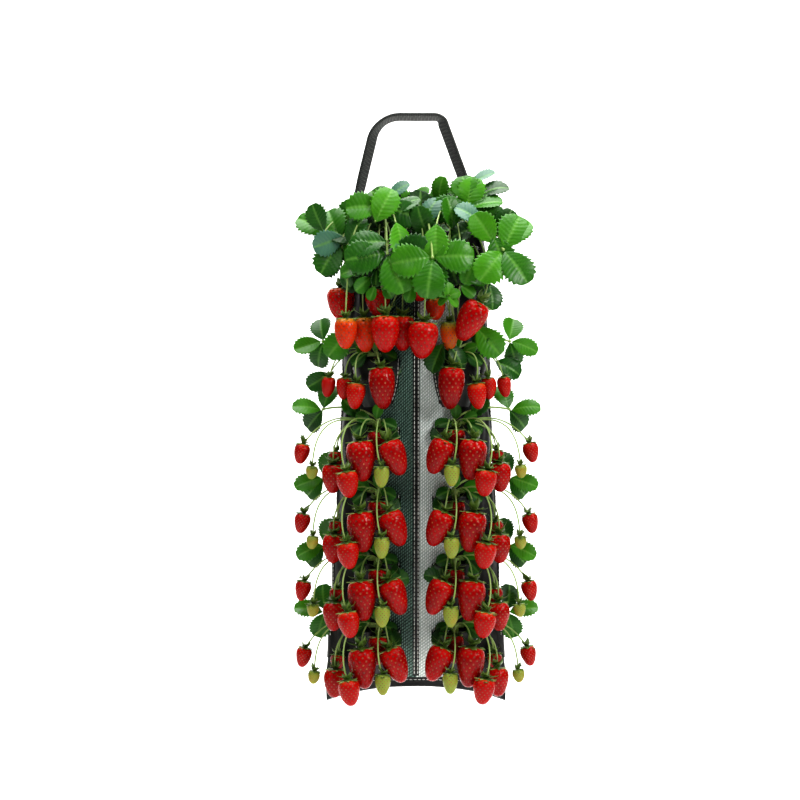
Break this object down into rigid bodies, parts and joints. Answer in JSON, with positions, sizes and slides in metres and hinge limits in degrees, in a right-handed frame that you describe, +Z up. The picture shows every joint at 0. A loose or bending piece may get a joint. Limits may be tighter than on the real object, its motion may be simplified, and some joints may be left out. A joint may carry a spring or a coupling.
{
  "type": "hanging strawberry grow bag",
  "caption": "Tall cloth grow bag hung from a webbing strap, with front pockets full of fruiting strawberry plants and more plants in its open mouth.",
  "frame": {"origin": "on the underside of the strap's flat top, where a hook carries the bag", "axes": "+Z up, +X to the viewer's right, -Y towards the viewer, out of the planted front"},
  "size_m": [0.358, 0.2615, 0.8591],
  "materials": {
    "strap_webbing": "black polypropylene webbing",
    "woven_cloth": "grey green woven polyethylene cloth, slight sheen",
    "black_cloth": "black coated cloth, slight sheen",
    "soil": "dark potting soil",
    "crown": "fibrous plant crown",
    "stalk": "soft green stalks",
    "leaf": "satin green leaves",
    "berry": "glossy red berries"
  },
  "bodies": {
    "handle": {"handle_strap": "strap_webbing"},
    "bag": {"strap_tail_left": "strap_webbing", "strap_tail_right": "strap_webbing", "bag_body": "woven_cloth", "top_hem": "black_cloth", "side_binding_left": "black_cloth", "side_binding_right": "black_cloth", "centre_seam_tape": "woven_cloth", "bottom_seam": "black_cloth", "pocket_left_1": "black_cloth", "pocket_left_2": "black_cloth", "pocket_left_3": "black_cloth", "pocket_left_4": "black_cloth", "pocket_left_5": "black_cloth", "pocket_right_1": "black_cloth", "pocket_right_2": "black_cloth", "pocket_right_3": "black_cloth", "pocket_right_4": "black_cloth", "pocket_right_5": "black_cloth", "pocket_soil": "soil", "pocket_crowns": "crown", "soil_core": "soil", "top_crowns": "crown", "top_petioles": "stalk", "top_leaf_blades": "leaf", "top_berries": "berry", "top_berry_stalks": "stalk", "leaf_left_1": "leaf", "leaf_left_2": "leaf", "leaf_left_3": "leaf", "leaf_left_4": "leaf", "leaf_left_5": "leaf", "leaf_right_1": "leaf", "leaf_right_2": "leaf", "leaf_right_3": "leaf", "leaf_right_4": "leaf", "leaf_right_5": "leaf"},
    "truss_left_1": {"truss_left_1_stalks": "stalk", "truss_left_1_berries": "berry"},
    "truss_left_2": {"truss_left_2_stalks": "stalk", "truss_left_2_berries": "berry"},
    "truss_left_3": {"truss_left_3_stalks": "stalk", "truss_left_3_berries": "berry"},
    "truss_left_4": {"truss_left_4_stalks": "stalk", "truss_left_4_berries": "berry"},
    "truss_left_5": {"truss_left_5_stalks": "stalk", "truss_left_5_berries": "berry"},
    "truss_right_1": {"truss_right_1_stalks": "stalk", "truss_right_1_berries": "berry"},
    "truss_right_2": {"truss_right_2_stalks": "stalk", "truss_right_2_berries": "berry"},
    "truss_right_3": {"truss_right_3_stalks": "stalk", "truss_right_3_berries": "berry"},
    "truss_right_4": {"truss_right_4_stalks": "stalk", "truss_right_4_berries": "berry"},
    "truss_right_5": {"truss_right_5_stalks": "stalk", "truss_right_5_berries": "berry"}
  },
  "joints": [
    {"name": "bag_swing", "type": "hinge", "parent": "handle", "child": "bag", "pos_m": [0, 0, -0.157], "axis": [1, 0, 0], "range_deg": [-12, 12]},
    {"name": "truss_swing_left_1", "type": "hinge", "parent": "bag", "child": "truss_left_1", "pos_m": [-0.0575, -0.05214, -0.3471], "axis": [-1, 0, 0], "range_deg": [0, 18]},
    {"name": "truss_swing_left_2", "type": "hinge", "parent": "bag", "child": "truss_left_2", "pos_m": [-0.0575, -0.04961, -0.4451], "axis": [-1, 0, 0], "range_deg": [0, 18]},
    {"name": "truss_swing_left_3", "type": "hinge", "parent": "bag", "child": "truss_left_3", "pos_m": [-0.0575, -0.04547, -0.5431], "axis": [-1, 0, 0], "range_deg": [0, 18]},
    {"name": "truss_swing_left_4", "type": "hinge", "parent": "bag", "child": "truss_left_4", "pos_m": [-0.0575, -0.03645, -0.6411], "axis": [-1, 0, 0], "range_deg": [0, 18]},
    {"name": "truss_swing_left_5", "type": "hinge", "parent": "bag", "child": "truss_left_5", "pos_m": [-0.0575, -0.02346, -0.7391], "axis": [-1, 0, 0], "range_deg": [0, 18]},
    {"name": "truss_swing_right_1", "type": "hinge", "parent": "bag", "child": "truss_right_1", "pos_m": [0.0575, -0.05214, -0.3471], "axis": [-1, 0, 0], "range_deg": [0, 18]},
    {"name": "truss_swing_right_2", "type": "hinge", "parent": "bag", "child": "truss_right_2", "pos_m": [0.0575, -0.04961, -0.4451], "axis": [-1, 0, 0], "range_deg": [0, 18]},
    {"name": "truss_swing_right_3", "type": "hinge", "parent": "bag", "child": "truss_right_3", "pos_m": [0.0575, -0.04547, -0.5431], "axis": [-1, 0, 0], "range_deg": [0, 18]},
    {"name": "truss_swing_right_4", "type": "hinge", "parent": "bag", "child": "truss_right_4", "pos_m": [0.0575, -0.03645, -0.6411], "axis": [-1, 0, 0], "range_deg": [0, 18]},
    {"name": "truss_swing_right_5", "type": "hinge", "parent": "bag", "child": "truss_right_5", "pos_m": [0.0575, -0.02346, -0.7391], "axis": [-1, 0, 0], "range_deg": [0, 18]}
  ]
}
